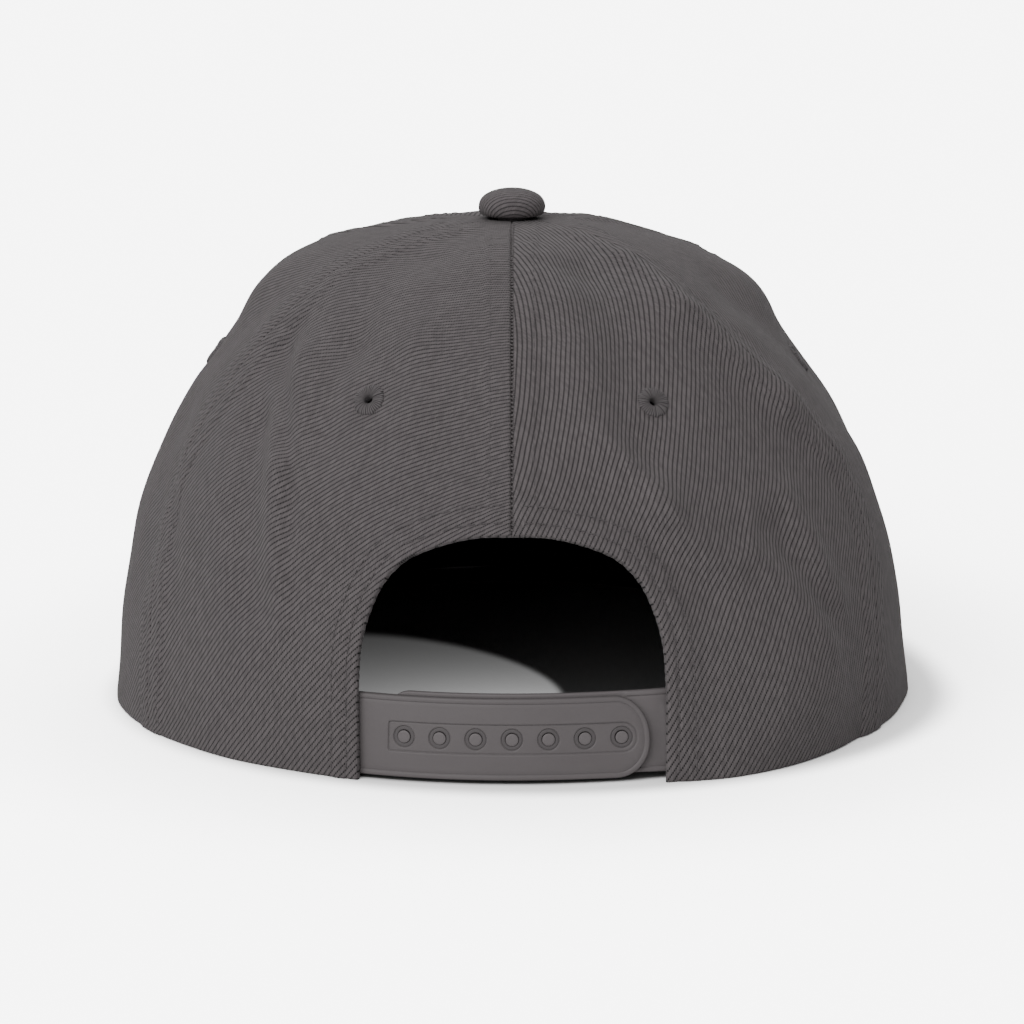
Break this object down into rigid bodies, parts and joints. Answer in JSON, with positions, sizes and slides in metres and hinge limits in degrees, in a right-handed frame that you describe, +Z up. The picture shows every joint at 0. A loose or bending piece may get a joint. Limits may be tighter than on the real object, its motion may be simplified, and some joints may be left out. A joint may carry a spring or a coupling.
{
  "type": "snapback cap",
  "caption": "Structured twill cap with a flat peak, rear arch and snap strap closure, resting on its rim.",
  "frame": {"origin": "centre of the footprint, on the surface that the cap rests on", "axes": "+Z up, -Y the way the peak points, +X the wearer's left"},
  "size_m": [0.182, 0.26, 0.1156],
  "materials": {
    "panel_twill": "dark grey twill",
    "peak_twill": "dark grey twill",
    "button_twill": "dark grey twill",
    "eyelet_thread": "satin thread",
    "sweatband_cloth": "black cotton",
    "strap_plastic": "soft matte moulding"
  },
  "bodies": {
    "root": {"panel_back_left": "panel_twill", "panel_back_right": "panel_twill", "panel_side_left": "panel_twill", "panel_side_right": "panel_twill", "panel_front_left": "panel_twill", "panel_front_right": "panel_twill", "eyelet_back_left": "eyelet_thread", "eyelet_back_right": "eyelet_thread", "eyelet_side_left": "eyelet_thread", "eyelet_side_right": "eyelet_thread", "eyelet_front_left": "eyelet_thread", "eyelet_front_right": "eyelet_thread", "crown_button": "button_twill", "peak": "peak_twill", "sweatband": "sweatband_cloth", "strap_with_holes": "strap_plastic", "strap_with_pegs": "strap_plastic"}
  },
  "joints": []
}
